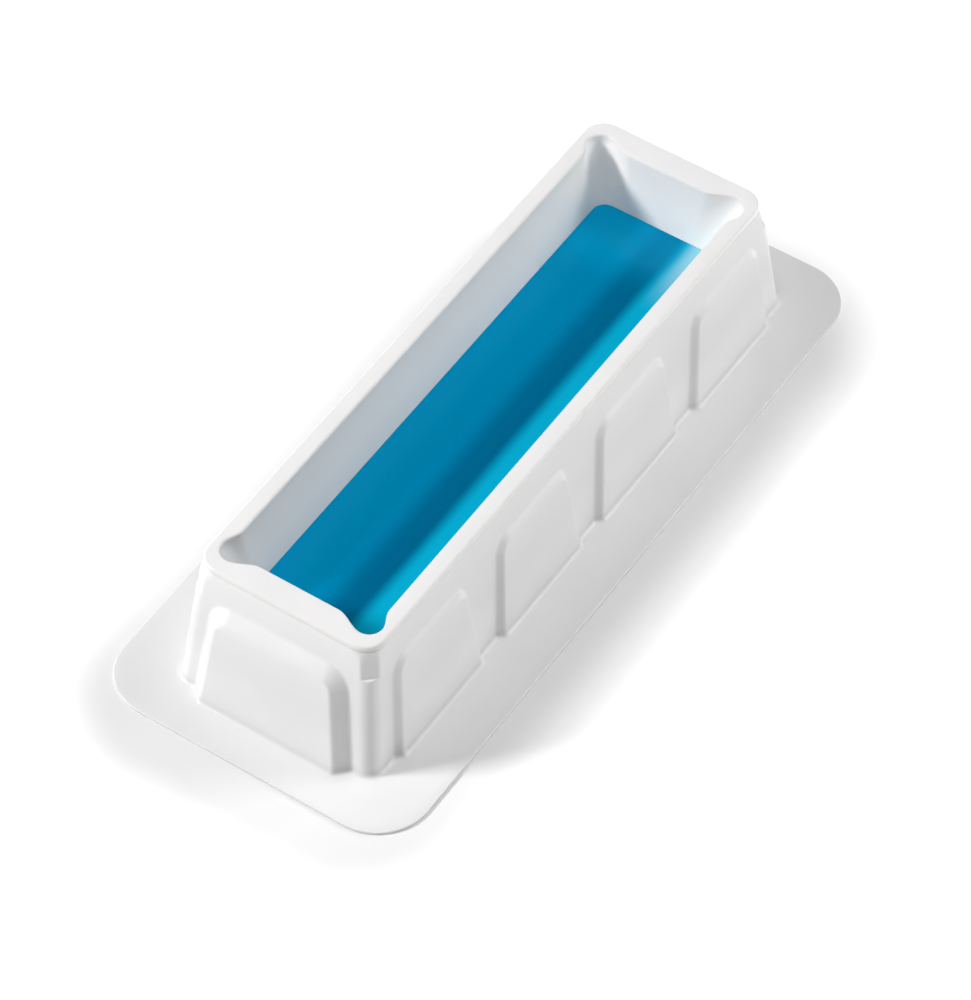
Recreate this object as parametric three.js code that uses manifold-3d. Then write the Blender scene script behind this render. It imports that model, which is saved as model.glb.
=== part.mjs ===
// Loaf soap mould on a table: a rigid white carrier tray, a white silicone liner that hangs in it by its lip,
// and the loaf of blue soap that sets in the liner. Millimetres, +Z up, X across, Y along the loaf.
// The origin is on the table, under the middle of the tray.
import * as THREE from "three";
import { mergeVertices } from "three/addons/utils/BufferGeometryUtils.js";
import Module from "manifold-3d";

const wasm = await Module();
wasm.setup();

// Overall
const HEIGHT = 58.5; // table to the top of the liner's lip
const GAP = 0.3; // clearance between pieces that rest on or in each other

// Carrier tray
const SHEET = 1.2; // wall thickness of the tray
const FLANGE = { halfX: 62.3, halfY: 150, corner: 20 };
const SKIRT_TOP = { halfX: 35.6, halfY: 122.4 }; // outside of the skirt, projected up to HEIGHT
const SKIRT_DRAFT = { x: Math.tan(THREE.MathUtils.degToRad(5.1)), y: Math.tan(THREE.MathUtils.degToRad(8.3)) };
const CORNER_COLUMN = { radius: 4, height: 44.5 }; // rounded upright corners stop at this height
const CORNER_CHAMFER = 4.4; // above the columns the corners are cut flat
const PANEL_TOP = 45; // height where a raised panel starts to slope out of the skirt
const SIDE_PANEL = { count: 4, pitch: 61.45, halfFoot: 26, halfTop: 20.8, rise: 2.3, corner: 7 };
const END_PANEL = { halfFoot: 32.2, halfTop: 27.2, rise: 4.6, corner: 8 };

// Silicone liner
const LIP = { thickness: 2.2, overhang: 0.25, corner: 8.2, edge: 1.1 };
const LINER_WALL = 2;
const CAVITY = { halfX: 29.4, halfY: 112.4, corner: 5.2 }; // clear opening just under the lip
const CAVITY_DRAFT = { x: Math.tan(THREE.MathUtils.degToRad(8.3)), y: Math.tan(THREE.MathUtils.degToRad(4.4)) };
// Corner pockets: how far they reach past the walls and run along them, and the share of it left at the soap
const LOBE = { outX: 2.6, outY: 3.9, runX: 14, runY: 9, leftOver: 0.03 };
const FLOOR_TOP = 3.5;
const FLOOR_ROUND = 4; // radius between the cavity's walls and floor

// Soap
const SOAP_LEVEL = 31; // height of the soap's face above the table

const ARC_STEPS = 6;
const TRAY_TOP = HEIGHT - LIP.thickness - GAP;
const LIP_UNDERSIDE = HEIGHT - LIP.thickness;

const rigidWhite = new THREE.MeshStandardMaterial({ color: 0xf1f1f3, roughness: 0.28, metalness: 0 });
const siliconeWhite = new THREE.MeshStandardMaterial({ color: 0xf6f5f5, roughness: 0.38, metalness: 0 });
const blueSoap = new THREE.MeshStandardMaterial({ color: 0x0089b8, roughness: 0.25, metalness: 0 });

// A closed geometry as a manifold-3d solid.
function solid(geometry) {
  const bare = geometry.clone();
  bare.deleteAttribute("normal");
  bare.deleteAttribute("uv");
  const merged = mergeVertices(bare, 1e-4);
  const vertProperties = new Float32Array(merged.attributes.position.array);
  const triVerts = new Uint32Array(merged.index.array);
  return new wasm.Manifold(new wasm.Mesh({ numProp: 3, vertProperties, triVerts }));
}

// A solid as a named mesh.
function piece(name, body, material) {
  const { vertProperties, triVerts } = body.getMesh();
  const geometry = new THREE.BufferGeometry();
  geometry.setAttribute("position", new THREE.BufferAttribute(vertProperties, 3));
  geometry.setIndex(new THREE.BufferAttribute(triVerts, 1));
  geometry.computeVertexNormals();
  const mesh = new THREE.Mesh(geometry, material);
  mesh.name = name;
  return mesh;
}

// A rectangle centred on the axis, with round corners.
function roundRectangle(halfX, halfY, radius) {
  const [x, y] = [halfX - radius, halfY - radius];
  const outline = new THREE.Shape();
  outline.absarc(x, y, radius, 0, Math.PI / 2);
  outline.absarc(-x, y, radius, Math.PI / 2, Math.PI);
  outline.absarc(-x, -y, radius, Math.PI, 1.5 * Math.PI);
  outline.absarc(x, -y, radius, 1.5 * Math.PI, 2 * Math.PI);
  outline.closePath();
  return outline;
}

// A rectangle centred on the axis, with its corners cut flat at 45 degrees.
function cutRectangle(halfX, halfY, cut) {
  const corners = [];
  for (const [sx, sy] of [[1, 1], [-1, 1], [-1, -1], [1, -1]]) {
    const onSide = new THREE.Vector2(sx * halfX, sy * (halfY - cut));
    const onEnd = new THREE.Vector2(sx * (halfX - cut), sy * halfY);
    corners.push(...(sx * sy > 0 ? [onSide, onEnd] : [onEnd, onSide]));
  }
  return new THREE.Shape(corners);
}

// The cavity's outline: a rectangle whose corners swell into round pockets. Each pocket leaves the straight side
// and the straight end along an S curve. swell goes from 1, full pockets, to 0, plain round corners.
function lobedRectangle(halfX, halfY, corner, swell) {
  const outX = halfX + LOBE.outX * swell;
  const outY = halfY + LOBE.outY * swell;
  const quarter = new THREE.Path();
  const sideStart = halfY - LOBE.runY;
  const sideEnd = outY - corner;
  const sideMiddle = (sideStart + sideEnd) / 2;
  quarter.moveTo(halfX, sideStart);
  quarter.bezierCurveTo(halfX, sideMiddle, outX, sideMiddle, outX, sideEnd);
  quarter.absarc(outX - corner, sideEnd, corner, 0, Math.PI / 2);
  const endStart = outX - corner;
  const endEnd = halfX - LOBE.runX;
  const endMiddle = (endStart + endEnd) / 2;
  quarter.bezierCurveTo(endMiddle, outY, endMiddle, halfY, endEnd, halfY);
  const points = quarter.getPoints(ARC_STEPS);
  const mirrored = (sx, sy) => points.map((p) => new THREE.Vector2(sx * p.x, sy * p.y));
  return new THREE.Shape([
    ...mirrored(1, 1),
    ...mirrored(-1, 1).reverse(),
    ...mirrored(-1, -1),
    ...mirrored(1, -1).reverse(),
  ]);
}

// A closed body through outlines with the same number of points, each at its own height, lowest first.
function loft(sections) {
  const rings = sections.map(({ z, outline }) => ({ z, points: outline.extractPoints(ARC_STEPS).shape }));
  const size = rings[0].points.length;
  const positions = rings.flatMap(({ z, points }) => points.flatMap((p) => [p.x, p.y, z]));
  const cap = THREE.ShapeUtils.triangulateShape(rings[0].points, []);
  const lastCap = THREE.ShapeUtils.triangulateShape(rings.at(-1).points, []);
  const top = (rings.length - 1) * size;
  const index = cap.flatMap(([a, b, c]) => [a, c, b]);
  index.push(...lastCap.flatMap(([a, b, c]) => [a + top, b + top, c + top]));
  for (let ring = 0; ring < rings.length - 1; ring += 1) {
    for (let i = 0; i < size; i += 1) {
      const a = ring * size + i;
      const b = ring * size + ((i + 1) % size);
      index.push(a, b, b + size, a, b + size, a + size);
    }
  }
  const geometry = new THREE.BufferGeometry();
  geometry.setAttribute("position", new THREE.Float32BufferAttribute(positions, 3));
  geometry.setIndex(index);
  return geometry;
}

// Half sizes of the skirt's outside at a height, less an inset.
function skirtHalf(z, inset = 0) {
  return {
    x: SKIRT_TOP.halfX + (HEIGHT - z) * SKIRT_DRAFT.x - inset,
    y: SKIRT_TOP.halfY + (HEIGHT - z) * SKIRT_DRAFT.y - inset,
  };
}

// The skirt from the table to the tray's top, inset from the outside: round columns below, cut corners above.
function skirtBody(bottom, top, inset) {
  const shoulder = CORNER_COLUMN.height - inset;
  const cut = CORNER_CHAMFER - inset * (2 - Math.SQRT2);
  const columnSection = (z) => {
    const half = skirtHalf(z, inset);
    return { z, outline: roundRectangle(half.x, half.y, CORNER_COLUMN.radius - inset) };
  };
  const upperSection = (z) => {
    const half = skirtHalf(z, inset);
    return { z, outline: cutRectangle(half.x, half.y, cut) };
  };
  const columns = solid(loft([columnSection(bottom), columnSection(shoulder)]));
  return columns.add(solid(loft([upperSection(shoulder - 1), upperSection(top)])));
}

// A raised panel's body, flat on X-Y with its foot at y = 0: sides and top slope in by the rise, like a mesa.
// sunk is how far it starts behind the face that it stands on.
function panelBody(panel, height, sunk) {
  const outlineAt = (inset) => {
    const top = height - inset;
    const foot = panel.halfFoot - inset;
    const head = panel.halfTop - inset;
    const side = new THREE.Vector2(head - foot, top).normalize();
    const start = new THREE.Vector2(head, top).addScaledVector(side, -panel.corner);
    const outline = new THREE.Shape();
    outline.moveTo(-foot, 0);
    outline.lineTo(foot, 0);
    outline.lineTo(start.x, start.y);
    outline.quadraticCurveTo(head, top, head - panel.corner, top);
    outline.lineTo(-(head - panel.corner), top);
    outline.quadraticCurveTo(-head, top, -start.x, start.y);
    return outline;
  };
  return loft([
    { z: -sunk, outline: outlineAt(0) },
    { z: 0, outline: outlineAt(0) },
    { z: panel.rise, outline: outlineAt(panel.rise) },
  ]);
}

// Stands a panel on a wall of the skirt, its foot at a height above the table, moved in by an inset.
function placePanel(geometry, turn, along, footHeight, inset) {
  const onEnd = Math.abs(Math.sin(turn)) < 0.5;
  const draft = Math.atan(onEnd ? SKIRT_DRAFT.y : SKIRT_DRAFT.x);
  const half = skirtHalf(footHeight, inset);
  const reach = onEnd ? half.y : half.x;
  const placed = geometry.clone();
  placed.rotateX(Math.PI / 2 - draft);
  placed.translate(along, -reach, footHeight);
  placed.rotateZ(turn);
  return placed;
}

// Every raised panel of the tray, or with an inset the recess behind each of them.
function panels(footHeight, inset) {
  const sunk = inset > 0 ? 2 * SHEET : SHEET / 2;
  const height = PANEL_TOP - footHeight - inset;
  const sidePanel = panelBody(SIDE_PANEL, height, sunk);
  const endPanel = panelBody(END_PANEL, height, sunk);
  const placed = [];
  for (const turn of [0, Math.PI]) placed.push(placePanel(endPanel, turn, 0, footHeight, inset));
  for (const turn of [Math.PI / 2, -Math.PI / 2]) {
    for (let i = 0; i < SIDE_PANEL.count; i += 1) {
      const along = (i - (SIDE_PANEL.count - 1) / 2) * SIDE_PANEL.pitch;
      placed.push(placePanel(sidePanel, turn, along, footHeight, inset));
    }
  }
  return placed.map(solid);
}

// The cavity's outline at a height, grown outwards; the corner pockets fade out down to the soap's level.
function cavityOutline(z, grow) {
  const drop = LIP_UNDERSIDE - Math.min(z, LIP_UNDERSIDE);
  const swell = THREE.MathUtils.clamp((z - SOAP_LEVEL) / (LIP_UNDERSIDE - SOAP_LEVEL), LOBE.leftOver, 1);
  const halfX = CAVITY.halfX - drop * CAVITY_DRAFT.x + grow;
  const halfY = CAVITY.halfY - drop * CAVITY_DRAFT.y + grow;
  return lobedRectangle(halfX, halfY, CAVITY.corner + grow, swell);
}

// Sections of the cavity from its rounded floor up to a height, grown outwards by a wall.
function cavitySections(floor, top, grow) {
  const round = FLOOR_ROUND + grow;
  const sections = [];
  for (let i = 0; i <= 4; i += 1) {
    const angle = (i / 4) * (Math.PI / 2);
    const z = floor + round * (1 - Math.cos(angle));
    sections.push({ z, outline: cavityOutline(z, grow - round * (1 - Math.sin(angle)) * 0.9) });
  }
  const levels = [SOAP_LEVEL, SOAP_LEVEL + 9, SOAP_LEVEL + 18, LIP_UNDERSIDE].filter((z) => z < top);
  for (const z of [...levels, top]) sections.push({ z, outline: cavityOutline(z, grow) });
  return sections;
}

// A thin sheet formed into a flange, a flared skirt with raised panels, and a ledge under the liner's lip.
function carrierTray() {
  const flangeOutline = roundRectangle(FLANGE.halfX, FLANGE.halfY, FLANGE.corner);
  const flange = solid(loft([{ z: 0, outline: flangeOutline }, { z: SHEET, outline: flangeOutline }]));
  let body = flange.add(skirtBody(0, TRAY_TOP, 0));
  for (const panel of panels(SHEET / 2, 0)) body = body.add(panel);
  let hollow = skirtBody(-1, TRAY_TOP - SHEET, SHEET);
  for (const recess of panels(-1, SHEET)) hollow = hollow.add(recess);
  const mouth = [-2 * SHEET, SHEET].map((rise) => ({
    z: TRAY_TOP + rise,
    outline: cavityOutline(LIP_UNDERSIDE, LINER_WALL + GAP),
  }));
  body = body.subtract(hollow).subtract(solid(loft(mouth)));
  return piece("carrier_tray", body, rigidWhite);
}

// A soft cavity with round corner pockets, hanging from a flat lip that lies on the tray's ledge.
function siliconeLiner() {
  const outer = solid(loft(cavitySections(FLOOR_TOP - LINER_WALL, LIP_UNDERSIDE + 0.5, LINER_WALL)));
  const half = { x: SKIRT_TOP.halfX + LIP.overhang, y: SKIRT_TOP.halfY + LIP.overhang };
  const lipSection = (z, inset) => ({
    z,
    outline: roundRectangle(half.x - inset, half.y - inset, LIP.corner - inset),
  });
  const lip = solid(
    loft([
      lipSection(LIP_UNDERSIDE, 0.4),
      lipSection(LIP_UNDERSIDE + 0.4, 0),
      lipSection(HEIGHT - LIP.edge, 0),
      lipSection(HEIGHT - LIP.edge * 0.3, LIP.edge * 0.3),
      lipSection(HEIGHT, LIP.edge),
    ]),
  );
  const inside = cavitySections(FLOOR_TOP, LIP_UNDERSIDE, 0);
  inside.push({ z: HEIGHT - LIP.edge, outline: cavityOutline(HEIGHT, 0) });
  inside.push({ z: HEIGHT - LIP.edge * 0.3, outline: cavityOutline(HEIGHT, LIP.edge * 0.3) });
  inside.push({ z: HEIGHT, outline: cavityOutline(HEIGHT, LIP.edge) });
  inside.push({ z: HEIGHT + 1, outline: cavityOutline(HEIGHT, LIP.edge) });
  return piece("silicone_liner", outer.add(lip).subtract(solid(loft(inside))), siliconeWhite);
}

// The cast loaf: the lower part of the cavity's shape, a clearance smaller, with a flat face.
function soapLoaf() {
  const sections = cavitySections(FLOOR_TOP + GAP, SOAP_LEVEL, -GAP);
  return piece("soap_loaf", solid(loft(sections)), blueSoap);
}

const group = new THREE.Group();
group.name = "loaf_soap_mould";
group.add(carrierTray(), siliconeLiner(), soapLoaf());

export default group;
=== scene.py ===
"""Loaf soap mould: fine surfaces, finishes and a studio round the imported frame.

Everything is in metres in the part's own frame: X across the mould, Y along the loaf, Z up, the origin on
the table under the middle of the carrier tray. Each piece is one grid of points, worked out as whole arrays:
rings of stations round the mould, stacked along a cross-section.
"""

from __future__ import annotations

import logging
import math
from collections.abc import Sequence
from dataclasses import dataclass, field, replace
from enum import Enum

import bpy
import numpy as np
from mathutils import Matrix, Vector
from numpy.typing import NDArray


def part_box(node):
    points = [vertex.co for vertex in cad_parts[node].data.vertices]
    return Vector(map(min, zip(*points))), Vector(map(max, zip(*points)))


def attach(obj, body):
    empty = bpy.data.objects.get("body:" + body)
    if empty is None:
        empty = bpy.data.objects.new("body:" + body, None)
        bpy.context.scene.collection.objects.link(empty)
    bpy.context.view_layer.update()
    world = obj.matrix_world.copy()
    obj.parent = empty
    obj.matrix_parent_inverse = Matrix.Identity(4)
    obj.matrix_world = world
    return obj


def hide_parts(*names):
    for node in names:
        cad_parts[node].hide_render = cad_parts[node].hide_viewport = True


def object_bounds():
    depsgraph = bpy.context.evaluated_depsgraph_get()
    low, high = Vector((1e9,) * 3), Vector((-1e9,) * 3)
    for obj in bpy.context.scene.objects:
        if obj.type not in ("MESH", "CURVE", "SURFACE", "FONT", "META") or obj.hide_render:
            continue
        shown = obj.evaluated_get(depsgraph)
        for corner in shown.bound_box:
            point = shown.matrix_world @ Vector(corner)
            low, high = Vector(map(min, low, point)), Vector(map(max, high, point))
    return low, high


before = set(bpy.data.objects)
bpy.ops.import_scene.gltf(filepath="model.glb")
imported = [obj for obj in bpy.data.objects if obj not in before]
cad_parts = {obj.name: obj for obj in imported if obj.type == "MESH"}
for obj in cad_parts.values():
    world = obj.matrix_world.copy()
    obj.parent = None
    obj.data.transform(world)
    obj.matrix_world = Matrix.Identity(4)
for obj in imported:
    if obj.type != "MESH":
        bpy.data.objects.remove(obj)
CAD_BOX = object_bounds()

logging.basicConfig(level=logging.INFO, format="%(name)s: %(message)s")
LOG = logging.getLogger("soap_mould")

Array = NDArray[np.float64]
MM = 1e-3

CORNER_SQUARE = 8.4 * MM  # side of the square that the stations of a corner fan out from
LIP_RADIUS = 8.2 * MM  # corner radius of the liner's lip, which the tray's top follows
SHARPEST = 0.5 * MM  # smallest corner radius that a drawn-in outline is left with
LIP_FACE = 2.2 * MM  # depth below the lip's top at which the cavity's leaning walls begin
ARC_STEPS = 6  # steps round a quarter of a rounded edge on the liner and the loaf
QUARTERS = np.array([0.25, 0.5, 0.75])  # sizes of the rings that lead to the middle of a flat


def smooth_step(values: Array, low: Array | float, high: Array | float) -> Array:
    """Rises from 0 at low to 1 at high with level ends: 3t^2 - 2t^3.

    Args:
        values: The numbers to grade.
        low: Where the step starts.
        high: Where the step ends.

    Returns:
        The step's height at each value.
    """
    share = np.clip((values - low) / (high - low), 0.0, 1.0)
    return share * share * (3.0 - 2.0 * share)


def soft_ramp(distance: Array, rise: float, round_share: float) -> Array:
    """A 45 degree slope from 0 to rise, with its foot and its brow rounded.

    The slope is the distance itself. Over round_share of the rise on both sides of the foot and of the brow
    it is a parabola that meets the level and the slope without a kink.

    Args:
        distance: Distance inside the outline that the slope starts at.
        rise: Height of the plateau.
        round_share: Half width of each rounding, as a share of the rise.

    Returns:
        The height at each distance.
    """
    share = distance / rise
    foot = np.clip(share + round_share, 0.0, 2.0 * round_share) ** 2 / (4.0 * round_share)
    brow = np.clip(share - 1.0 + round_share, 0.0, 2.0 * round_share) ** 2 / (4.0 * round_share)
    middle = np.clip(share - round_share, 0.0, None)
    over = np.clip(share - 1.0 - round_share, 0.0, None)
    return rise * (foot + middle - brow - over)


def graded(stops: Sequence[float], steps: Sequence[int]) -> Array:
    """Numbers that run through the stops, with a given number of even steps between each pair.

    Args:
        stops: The places to pass through, in order.
        steps: How many steps to take between one stop and the next.

    Returns:
        All the numbers, both ends included.
    """
    spans = [np.linspace(a, b, n, endpoint=False) for a, b, n in zip(stops[:-1], stops[1:], steps)]
    return np.concatenate([*spans, [stops[-1]]])


@dataclass(frozen=True)
class Stations:
    """Places of the samples round a rectangle, counter-clockwise from the middle of its +X side.

    A station is a share of the rectangle's half sizes less the corner square, and a direction to reach out
    in: straight out from the sides and ends, and fanned out from the square's inner point in the corners.

    Attributes:
        share_x: Share of the inner half width, -1 to 1.
        share_y: Share of the inner half length, -1 to 1.
        out_x: X part of the direction.
        out_y: Y part of the direction.
        square: Side of the corner square.
    """

    share_x: Array
    share_y: Array
    out_x: Array
    out_y: Array
    square: float

    @classmethod
    def around(cls, side: Array, end: Array, corner_steps: int, square: float) -> Stations:
        """Mirrors one quarter of the stations into a full ring.

        Args:
            side: Shares along half of a long side, from 0 to 1.
            end: Shares along half of an end, from 1 to 0.
            corner_steps: Steps round one corner.
            square: Side of the corner square.

        Returns:
            The ring of stations.
        """
        turn = np.linspace(0.0, math.pi / 2.0, corner_steps + 1)[1:-1]
        ones = np.ones
        share_x = np.concatenate([ones(side.size), ones(turn.size), end])
        share_y = np.concatenate([side, ones(turn.size), ones(end.size)])
        out_x = np.concatenate([ones(side.size), np.cos(turn), np.zeros(end.size)])
        out_y = np.concatenate([np.zeros(side.size), np.sin(turn), ones(end.size)])
        quarter = np.stack([share_x, share_y, out_x, out_y])
        mirror_x = np.array([-1.0, 1.0, -1.0, 1.0])[:, None]
        mirror_y = -mirror_x
        quarters = [quarter, (quarter * mirror_x)[:, ::-1], -quarter, (quarter * mirror_y)[:, ::-1]]
        ring = np.concatenate([part[:, :-1] for part in quarters], axis=1)
        return cls(ring[0], ring[1], ring[2], ring[3], square)

    def place(self, half_x: Array, half_y: Array, reach: Array) -> tuple[Array, Array]:
        """Stations of rectangles of given half sizes: inner corner shares plus the reach along the direction.

        Args:
            half_x: Half width of each ring, as a column.
            half_y: Half length of each ring, as a column.
            reach: How far each station reaches out from the inner rectangle.

        Returns:
            X and Y of every station of every ring.
        """
        x = self.share_x * (half_x - self.square) + self.out_x * reach
        y = self.share_y * (half_y - self.square) + self.out_y * reach
        return x, y

    def round_reach(self, radius: Array) -> Array:
        """Reach of a corner rounded with a radius.

        The reach is where the direction meets the rectangle's edge. Where that lies within a radius of both
        edges, it is where the direction meets the corner's circle instead.

        Args:
            radius: Corner radius of each ring, as a column, up to the corner square's side.

        Returns:
            The reach of every station of every ring.
        """
        across, along = np.abs(self.out_x), np.abs(self.out_y)
        edge = self.square / np.maximum(across, along)
        offset = self.square - radius
        toward = offset * (across + along)
        circle = toward + np.sqrt(np.maximum(toward**2 - 2.0 * offset**2 + radius**2, 0.0))
        in_corner = (edge * across > offset) & (edge * along > offset)
        return np.where(in_corner, np.minimum(circle, edge), edge * np.ones_like(radius))

    def cut_reach(self, cut: float, rounding: float) -> Array:
        """Reach of a corner cut flat at 45 degrees, with both edges of the cut eased.

        The reach is the smaller of the distance to the edge and the distance to the cut. The two are joined
        by a parabola where they differ by less than the rounding.

        Args:
            cut: Length cut off each edge.
            rounding: Distance over which the edges of the cut are eased.

        Returns:
            The reach of every station.
        """
        across, along = np.abs(self.out_x), np.abs(self.out_y)
        edge = self.square / np.maximum(across, along)
        flat = (2.0 * self.square - cut) / (across + along)
        near = np.clip(rounding - np.abs(edge - flat), 0.0, None)
        return np.minimum(edge, flat) - near**2 / (4.0 * rounding)


def ring_rows(x: Array, y: Array, z: Array) -> Array:
    """Rows of points from X, Y and a height for each row or for each point."""
    return np.stack(np.broadcast_arrays(x, y, z), axis=-1)


def between(first: Array, last: Array, shares: Array) -> Array:
    """Rows of points in between two rings, at shares of the straight way from the first to the last."""
    return first + shares[:, None, None] * (last - first)


class Ends(Enum):
    """How the rows of a grid end: joined to each other, or each closed by a point."""

    JOINED = "joined"
    POLES = "poles"


def surface(name: str, rows: Array, ends: Ends) -> bpy.types.Object:
    """A closed mesh over a grid of rings.

    Neighbouring points of neighbouring rings make a four-sided face. With poles, the first and the last ring
    are each closed by a fan to their middle point.

    Args:
        name: Name of the new object.
        rows: Points as rows, stations and coordinates; faces turn outwards when the rows go down the outside.
        ends: How the first and last rings are closed.

    Returns:
        The object, linked to the scene and shaded smooth.
    """
    count, size = rows.shape[:2]
    points = rows.reshape(-1, 3)
    station = np.arange(size)
    following = (station + 1) % size
    last_row = count if ends is Ends.JOINED else count - 1
    upper = (np.arange(last_row) * size)[:, None]
    lower = (np.arange(1, last_row + 1) % count * size)[:, None]
    quads = np.stack([upper + station, lower + station, lower + following, upper + following], axis=-1)
    corners = quads.reshape(-1)
    sides = np.full(quads.shape[0] * size, 4)
    if ends is Ends.POLES:
        top, bottom = len(points), len(points) + 1
        points = np.vstack([points, rows[0].mean(axis=0), rows[-1].mean(axis=0)])
        base = (count - 1) * size
        first = np.stack([station, following, np.full(size, top)], axis=-1)
        last = np.stack([base + following, base + station, np.full(size, bottom)], axis=-1)
        corners = np.concatenate([corners, first.reshape(-1), last.reshape(-1)])
        sides = np.concatenate([sides, np.full(2 * size, 3)])
    mesh = bpy.data.meshes.new(name)
    mesh.vertices.add(len(points))
    mesh.vertices.foreach_set("co", points.reshape(-1).astype(np.float32))
    mesh.loops.add(len(corners))
    mesh.loops.foreach_set("vertex_index", corners.astype(np.int32))
    mesh.polygons.add(len(sides))
    mesh.polygons.foreach_set("loop_start", (np.cumsum(sides) - sides).astype(np.int32))
    mesh.update(calc_edges=True)
    mesh.validate()
    mesh.shade_smooth()
    made = bpy.data.objects.new(name, mesh)
    bpy.context.scene.collection.objects.link(made)
    return made


class Socket:
    """A shader value that takes part in arithmetic: each operator adds one Math node."""

    def __init__(self, tree: bpy.types.NodeTree, output: bpy.types.NodeSocket) -> None:
        """Wraps an output socket of a node in a tree."""
        self.tree = tree
        self.output = output

    def _math(self, operation: str, first: Socket | float, second: Socket | float) -> Socket:
        """One Math node on two values.

        Args:
            operation: Blender's name of the operation.
            first: The first value, a socket or a number.
            second: The second value, a socket or a number.

        Returns:
            The node's result.
        """
        node = self.tree.nodes.new("ShaderNodeMath")
        node.operation = operation
        for slot, value in zip(node.inputs, (first, second)):
            if isinstance(value, Socket):
                self.tree.links.new(value.output, slot)
            else:
                slot.default_value = value
        return Socket(self.tree, node.outputs[0])

    def __add__(self, other: Socket | float) -> Socket:
        """Sum."""
        return self._math("ADD", self, other)

    def __radd__(self, other: float) -> Socket:
        """Sum with a number first."""
        return self._math("ADD", other, self)

    def __sub__(self, other: Socket | float) -> Socket:
        """Difference."""
        return self._math("SUBTRACT", self, other)

    def __rsub__(self, other: float) -> Socket:
        """Difference from a number."""
        return self._math("SUBTRACT", other, self)

    def __pow__(self, other: Socket | float) -> Socket:
        """Power."""
        return self._math("POWER", self, other)

    def __abs__(self) -> Socket:
        """Size without its sign."""
        return self._math("ABSOLUTE", self, 0.0)

    def at_least(self, other: Socket | float) -> Socket:
        """The larger of this and another value."""
        return self._math("MAXIMUM", self, other)

    def __mul__(self, other: Socket | float) -> Socket:
        """Product."""
        return self._math("MULTIPLY", self, other)

    def __rmul__(self, other: float) -> Socket:
        """Product with a number first."""
        return self._math("MULTIPLY", other, self)


class Paint:
    """Builds the node tree of one material."""

    def __init__(self, name: str) -> None:
        """Starts a material with a Principled shader linked to its output.

        Args:
            name: Name of the material.
        """
        self.material = bpy.data.materials.new(name)
        self.material.use_nodes = True
        self.tree = self.material.node_tree
        self.shader = self.tree.nodes["Principled BSDF"]
        self.place = self.node("ShaderNodeTexCoord", output="Object")

    def node(
        self,
        kind: str,
        settings: dict[str, object] | None = None,
        inputs: dict[str | int, object] | None = None,
        output: str | int = 0,
    ) -> Socket:
        """Adds any node.

        Args:
            kind: Blender's type name of the node.
            settings: The node's own properties, set before its sockets.
            inputs: A number, colour, vector or Socket for each named or numbered input.
            output: Which output to return.

        Returns:
            The chosen output.
        """
        made = self.tree.nodes.new(kind)
        for key, value in (settings or {}).items():
            setattr(made, key, value)
        for key, value in (inputs or {}).items():
            if isinstance(value, Socket):
                self.tree.links.new(value.output, made.inputs[key])
            else:
                made.inputs[key].default_value = value
        return Socket(self.tree, made.outputs[output])

    def noise(self, scale: float, detail: float, stretch: Sequence[float] = (1.0, 1.0, 1.0)) -> Socket:
        """Soft noise on the piece's own coordinates.

        Args:
            scale: Grains for each metre.
            detail: How many finer layers are added.
            stretch: Scale of the pattern along each axis.

        Returns:
            Values round one half.
        """
        place = self.node("ShaderNodeMapping", inputs={"Vector": self.place, "Scale": stretch})
        inputs = {"Vector": place, "Scale": scale, "Detail": detail}
        return self.node("ShaderNodeTexNoise", inputs=inputs, output="Fac")

    def step(self, value: Socket, low: float, high: float, smooth: bool = True) -> Socket:
        """Grades a value from 0 at low to 1 at high.

        Args:
            value: The value to grade.
            low: Where the step starts.
            high: Where the step ends.
            smooth: True for soft ends, False for a straight ramp.

        Returns:
            The step's height.
        """
        settings = {"interpolation_type": "SMOOTHSTEP" if smooth else "LINEAR"}
        inputs = {"Value": value, "From Min": low, "From Max": high}
        return self.node("ShaderNodeMapRange", settings, inputs)

    def mix(self, share: Socket | float, first: object, second: object) -> Socket:
        """Mixes two colours by a share."""
        inputs = {"Factor": share, 6: first, 7: second}
        return self.node("ShaderNodeMix", {"data_type": "RGBA"}, inputs, output=2)

    def axis(self, name: str) -> Socket:
        """One coordinate of the piece, in metres."""
        return self.node("ShaderNodeSeparateXYZ", inputs={"Vector": self.place}, output=name)

    def bump(self, height: Socket, depth: float) -> Socket:
        """A normal from a height pattern whose full range is a depth in metres."""
        return self.node("ShaderNodeBump", inputs={"Height": height, "Strength": 1.0, "Distance": depth})

    def finish(self, links: dict[str, Socket], constants: dict[str, object]) -> bpy.types.Material:
        """Links what varies and sets what doesn't on the Principled shader.

        Args:
            links: Sockets that vary over the surface, by input name.
            constants: Values that are the same everywhere, by input name.

        Returns:
            The finished material.
        """
        for key, socket in links.items():
            self.tree.links.new(socket.output, self.shader.inputs[key])
        for key, value in constants.items():
            self.shader.inputs[key].default_value = value
        return self.material


Colour = tuple[float, float, float, float]


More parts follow.
